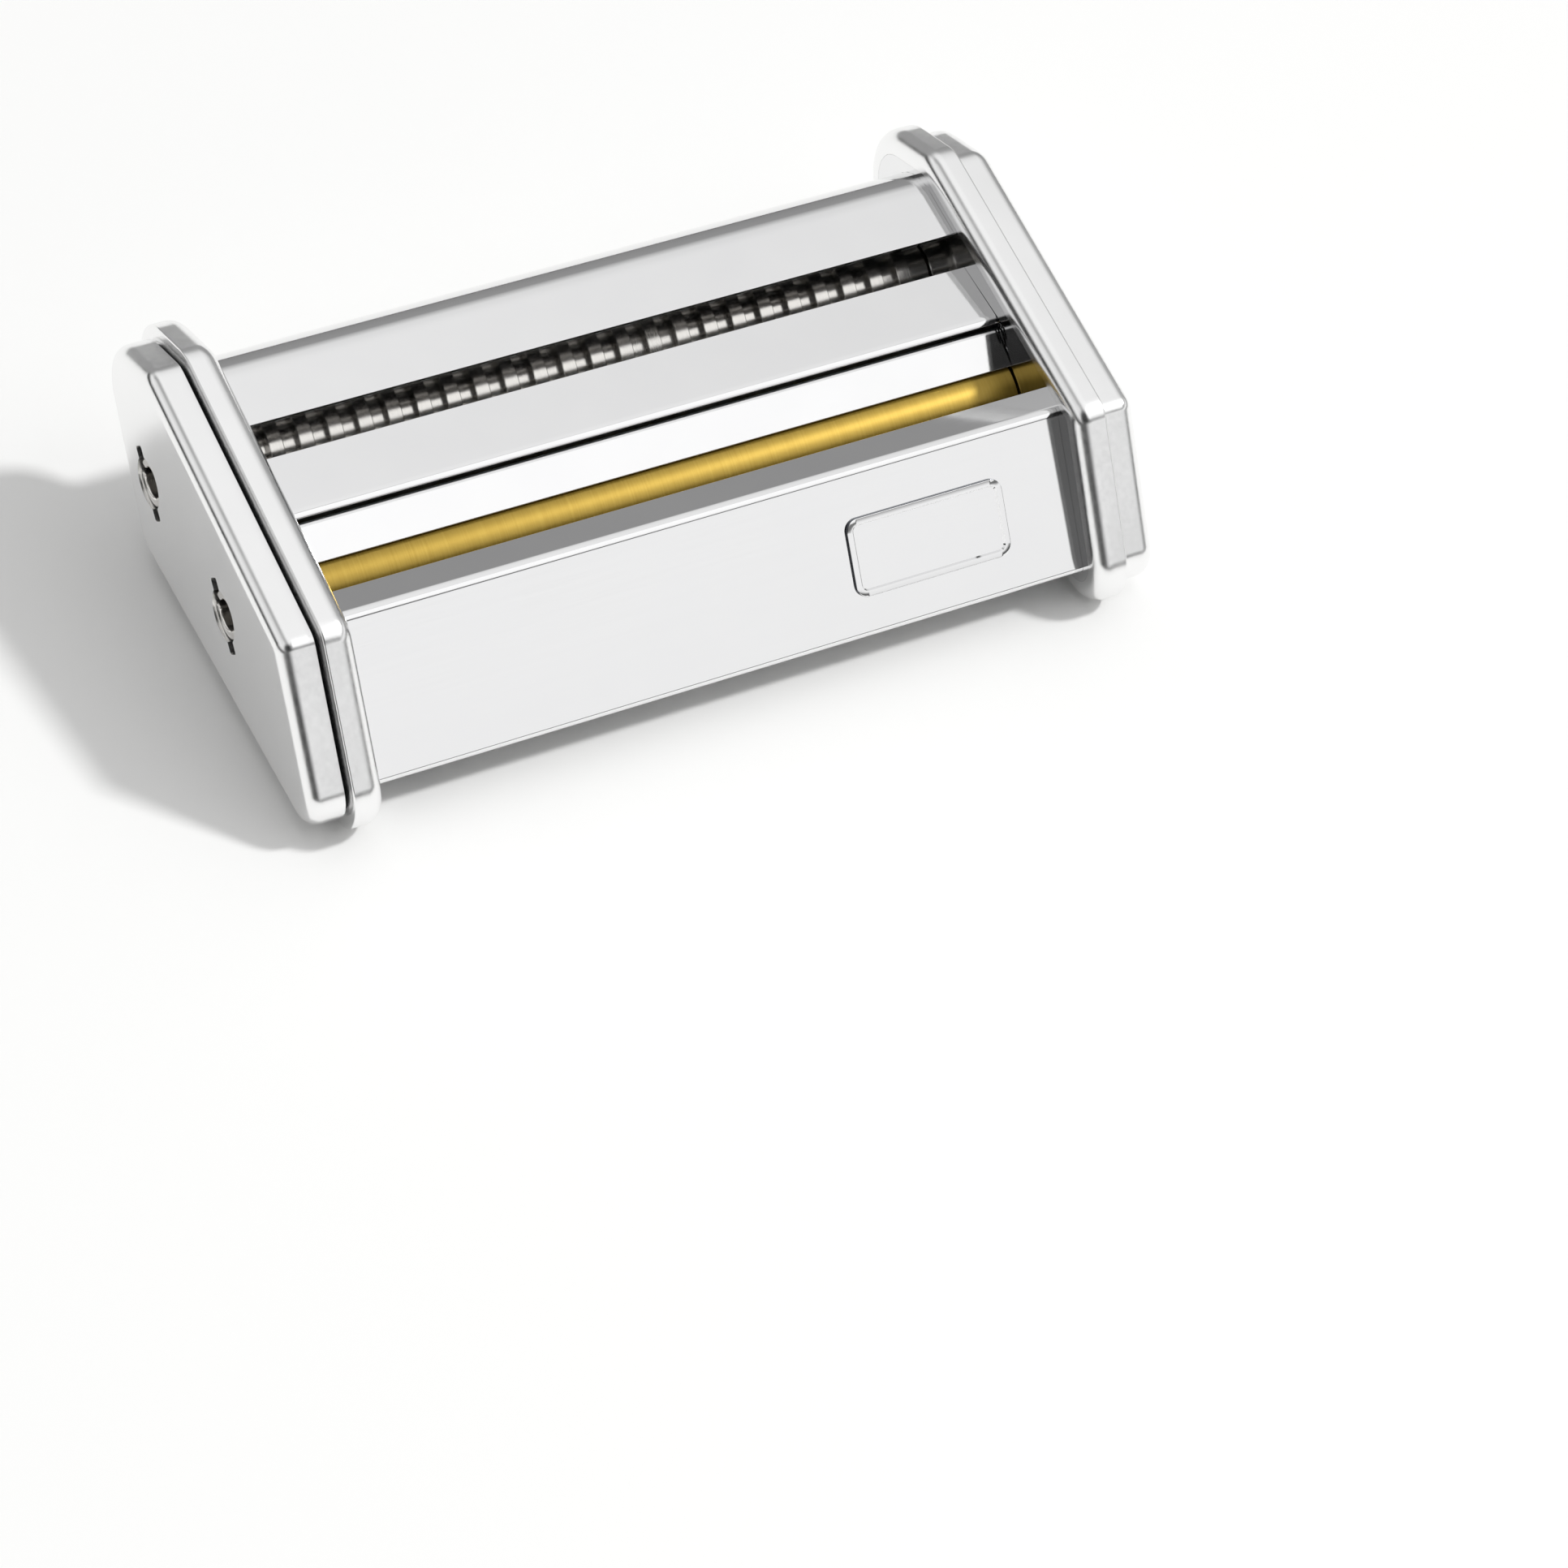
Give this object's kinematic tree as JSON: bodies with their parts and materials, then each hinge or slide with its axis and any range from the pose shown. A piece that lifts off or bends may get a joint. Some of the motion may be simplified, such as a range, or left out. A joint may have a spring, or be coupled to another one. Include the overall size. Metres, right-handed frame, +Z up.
{
  "type": "pasta machine cutter head",
  "caption": "Double cutter head of a hand-cranked pasta machine: geared roller pairs for wide zigzag-edged strips and narrow noodles in a leaning chromed case.",
  "frame": {"origin": "middle of the footprint, on the surface that the rims stand on", "axes": "+X along the rollers towards the gear end, -Y towards the front panel, +Z up; the crank holes are at the -X end"},
  "size_m": [0.1782, 0.1034, 0.0498],
  "materials": {
    "chromed_casing": "satin-bright chrome plating on die-cast rims and end caps",
    "polished_sheet": "polished nickel-chrome plated sheet steel",
    "bright_steel": "zinc-plated steel bars, rods, nuts and combs",
    "plated_cutters": "turned and nickel-plated rollers",
    "sintered_steel": "sintered steel gears, lightly oiled",
    "golden_roller": "satin golden roller sleeve",
    "nylon": "moulded natural nylon bushes"
  },
  "bodies": {
    "case": {"left_side_plate": "bright_steel", "right_side_plate": "bright_steel", "left_rim": "chromed_casing", "right_rim": "chromed_casing", "left_end_cap": "chromed_casing", "right_end_cap": "chromed_casing", "front_panel": "polished_sheet", "feed_plate": "polished_sheet", "middle_cover": "polished_sheet", "back_cover": "polished_sheet", "front_tie_bar": "bright_steel", "tie_rods": "bright_steel", "tie_nuts": "bright_steel", "panel_screws": "bright_steel", "slide_rails": "bright_steel", "rail_rivets": "bright_steel", "left_front_drive_bush": "nylon", "left_front_cutter_bush": "nylon", "left_rear_drive_bush": "nylon", "left_rear_idle_bush": "nylon", "right_front_drive_bush": "nylon", "right_front_cutter_bush": "nylon", "right_rear_drive_bush": "nylon", "right_rear_idle_bush": "nylon", "front_drive_scraper": "bright_steel", "front_cutter_scraper": "bright_steel", "rear_drive_comb": "bright_steel", "rear_idle_comb": "bright_steel"},
    "front_drive": {"front_drive_shaft": "plated_cutters", "front_drive_roller": "golden_roller", "front_drive_gear": "sintered_steel", "front_drive_clip": "bright_steel", "front_crank_socket": "plated_cutters"},
    "front_cutter": {"front_cutter_shaft": "plated_cutters", "zigzag_rings": "plated_cutters", "spacer_sleeves": "plated_cutters", "front_cutter_gear": "sintered_steel", "front_cutter_clips": "bright_steel"},
    "rear_drive": {"rear_drive_roller": "plated_cutters", "rear_drive_gear": "sintered_steel", "rear_drive_clip": "bright_steel", "rear_crank_socket": "plated_cutters"},
    "rear_idle": {"rear_idle_roller": "plated_cutters", "rear_idle_gear": "sintered_steel", "rear_idle_clips": "bright_steel"}
  },
  "joints": [
    {"name": "front_drive_turn", "type": "hinge", "parent": "case", "child": "front_drive", "pos_m": [0, -0.00777, 0.0215], "axis": [1, 0, 0], "continuous": true},
    {"name": "front_cutter_turn", "type": "hinge", "parent": "case", "child": "front_cutter", "pos_m": [0, -0.02477, 0.0215], "axis": [1, 0, 0], "continuous": true},
    {"name": "rear_drive_turn", "type": "hinge", "parent": "case", "child": "rear_drive", "pos_m": [0, 0.02823, 0.0215], "axis": [1, 0, 0], "continuous": true},
    {"name": "rear_idle_turn", "type": "hinge", "parent": "case", "child": "rear_idle", "pos_m": [0, 0.01223, 0.0215], "axis": [1, 0, 0], "continuous": true}
  ],
  "couplings": [
    {"joint": "front_cutter_turn", "follows": "front_drive_turn", "ratio": -1},
    {"joint": "rear_idle_turn", "follows": "rear_drive_turn", "ratio": -1}
  ]
}
